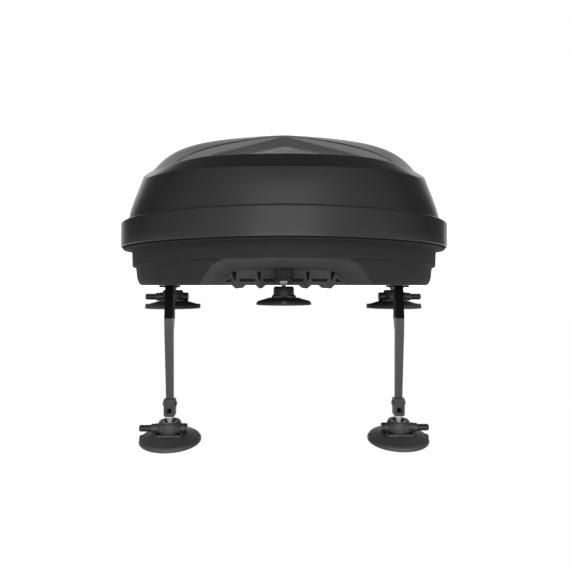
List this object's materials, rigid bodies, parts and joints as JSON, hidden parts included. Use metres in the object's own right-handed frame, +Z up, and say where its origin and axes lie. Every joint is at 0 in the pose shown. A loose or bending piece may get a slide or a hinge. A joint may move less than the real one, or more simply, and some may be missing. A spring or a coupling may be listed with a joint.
{
  "type": "roof cargo box",
  "caption": "Low, wide clamshell cargo box with a side-hinged lid, carried on pump-up vacuum cups, the front pair on long bent legs.",
  "frame": {"origin": "middle of the centre cup's bearing face, on the roof", "axes": "+X to the box's right seen from the nose, +Y from nose to tail, +Z up from the roof"},
  "size_m": [0.8571, 1.017, 0.7769],
  "materials": {
    "shell": "satin black moulding",
    "rubber": "matt",
    "zinc": "bright zinc",
    "steel": "black powder coat",
    "plastic": "fine grain"
  },
  "bodies": {
    "box": {"tray": "shell", "rim_seal": "rubber", "centre_bracket": "steel", "hinge_tray_leaf_front": "steel", "hinge_tray_leaf_rear": "steel", "hinge_pin_front": "zinc", "hinge_pin_rear": "zinc", "lock_strike_front": "zinc", "lock_strike_rear": "zinc", "backing_plate_centre": "steel", "backing_plate_side_left": "steel", "backing_plate_side_right": "steel", "backing_plate_leg_left": "steel", "backing_plate_leg_right": "steel", "leg_left": "steel", "clamp_block_left": "plastic", "clamp_bolt_left": "zinc", "side_bracket_left": "steel", "leg_right": "steel", "clamp_block_right": "plastic", "clamp_bolt_right": "zinc", "side_bracket_right": "steel"},
    "lid": {"lid": "shell", "hinge_lid_leaf_front": "steel", "hinge_lid_leaf_rear": "steel", "lock_housing_front": "plastic", "lock_housing_rear": "plastic"},
    "lock_front": {"lock_knob_front": "plastic", "latch_cam_front": "zinc"},
    "lock_rear": {"lock_knob_rear": "plastic", "latch_cam_rear": "zinc"},
    "stud_centre": {"ball_stud_centre": "zinc"},
    "cup_centre": {"cup_hub_centre": "plastic", "cup_pad_centre": "rubber", "pump_cap_centre": "plastic"},
    "plunger_centre": {"pump_plunger_centre": "plastic"},
    "stud_side_left": {"ball_stud_side_left": "zinc"},
    "cup_side_left": {"cup_hub_side_left": "plastic", "cup_pad_side_left": "rubber", "pump_cap_side_left": "plastic"},
    "plunger_side_left": {"pump_plunger_side_left": "plastic"},
    "stud_side_right": {"ball_stud_side_right": "zinc"},
    "cup_side_right": {"cup_hub_side_right": "plastic", "cup_pad_side_right": "rubber", "pump_cap_side_right": "plastic"},
    "plunger_side_right": {"pump_plunger_side_right": "plastic"},
    "stud_leg_left": {"ball_stud_leg_left": "zinc"},
    "cup_leg_left": {"cup_hub_leg_left": "plastic", "cup_pad_leg_left": "rubber", "pump_cap_leg_left": "plastic"},
    "plunger_leg_left": {"pump_plunger_leg_left": "plastic"},
    "stud_leg_right": {"ball_stud_leg_right": "zinc"},
    "cup_leg_right": {"cup_hub_leg_right": "plastic", "cup_pad_leg_right": "rubber", "pump_cap_leg_right": "plastic"},
    "plunger_leg_right": {"pump_plunger_leg_right": "plastic"}
  },
  "joints": [
    {"name": "lid_hinge", "type": "hinge", "parent": "box", "child": "lid", "pos_m": [0.4205, 0, 0.146], "axis": [0, 1, 0], "range_deg": [0, 65]},
    {"name": "lock_front_turn", "type": "hinge", "parent": "lid", "child": "lock_front", "pos_m": [-0.415, 0.03, 0.172], "axis": [1, 0, 0], "range_deg": [0, 90]},
    {"name": "lock_rear_turn", "type": "hinge", "parent": "lid", "child": "lock_rear", "pos_m": [-0.415, 0.19, 0.172], "axis": [1, 0, 0], "range_deg": [0, 90]},
    {"name": "stud_spin_centre", "type": "hinge", "parent": "box", "child": "stud_centre", "pos_m": [0, 0, 0.04], "axis": [0, 0, 1], "range_deg": [-30, 30]},
    {"name": "cup_tilt_centre", "type": "hinge", "parent": "stud_centre", "child": "cup_centre", "pos_m": [0, 0, 0.04], "axis": [1, 0, 0], "range_deg": [-10, 10]},
    {"name": "plunger_push_centre", "type": "slide", "parent": "cup_centre", "child": "plunger_centre", "axis": [0, -1, 0], "range_m": [0, 0.022], "stiffness_N_per_m": 250, "springref_m": -0.01},
    {"name": "stud_spin_side_left", "type": "hinge", "parent": "box", "child": "stud_side_left", "pos_m": [-0.308, 0.019, 0.03], "axis": [0, 0, 1], "range_deg": [-30, 30]},
    {"name": "cup_tilt_side_left", "type": "hinge", "parent": "stud_side_left", "child": "cup_side_left", "pos_m": [-0.308, 0.019, 0.03], "axis": [1, 0, 0], "range_deg": [-10, 10]},
    {"name": "plunger_push_side_left", "type": "slide", "parent": "cup_side_left", "child": "plunger_side_left", "axis": [1, 0, 0], "range_m": [0, 0.022], "stiffness_N_per_m": 250, "springref_m": -0.01},
    {"name": "stud_spin_side_right", "type": "hinge", "parent": "box", "child": "stud_side_right", "pos_m": [0.308, 0.019, 0.03], "axis": [0, 0, 1], "range_deg": [-30, 30]},
    {"name": "cup_tilt_side_right", "type": "hinge", "parent": "stud_side_right", "child": "cup_side_right", "pos_m": [0.308, 0.019, 0.03], "axis": [1, 0, 0], "range_deg": [-10, 10]},
    {"name": "plunger_push_side_right", "type": "slide", "parent": "cup_side_right", "child": "plunger_side_right", "axis": [-1, 0, 0], "range_m": [0, 0.022], "stiffness_N_per_m": 250, "springref_m": -0.01},
    {"name": "stud_spin_leg_left", "type": "hinge", "parent": "box", "child": "stud_leg_left", "pos_m": [-0.283, -0.155, -0.29134], "axis": [0, 0, 1], "range_deg": [-30, 30]},
    {"name": "cup_tilt_leg_left", "type": "hinge", "parent": "stud_leg_left", "child": "cup_leg_left", "pos_m": [-0.283, -0.155, -0.29134], "axis": [1, 0, 0], "range_deg": [-10, 10]},
    {"name": "plunger_push_leg_left", "type": "slide", "parent": "cup_leg_left", "child": "plunger_leg_left", "axis": [1, 0, 0], "range_m": [0, 0.022], "stiffness_N_per_m": 250, "springref_m": -0.01},
    {"name": "stud_spin_leg_right", "type": "hinge", "parent": "box", "child": "stud_leg_right", "pos_m": [0.283, -0.155, -0.29134], "axis": [0, 0, 1], "range_deg": [-30, 30]},
    {"name": "cup_tilt_leg_right", "type": "hinge", "parent": "stud_leg_right", "child": "cup_leg_right", "pos_m": [0.283, -0.155, -0.29134], "axis": [1, 0, 0], "range_deg": [-10, 10]},
    {"name": "plunger_push_leg_right", "type": "slide", "parent": "cup_leg_right", "child": "plunger_leg_right", "axis": [-1, 0, 0], "range_m": [0, 0.022], "stiffness_N_per_m": 250, "springref_m": -0.01}
  ]
}
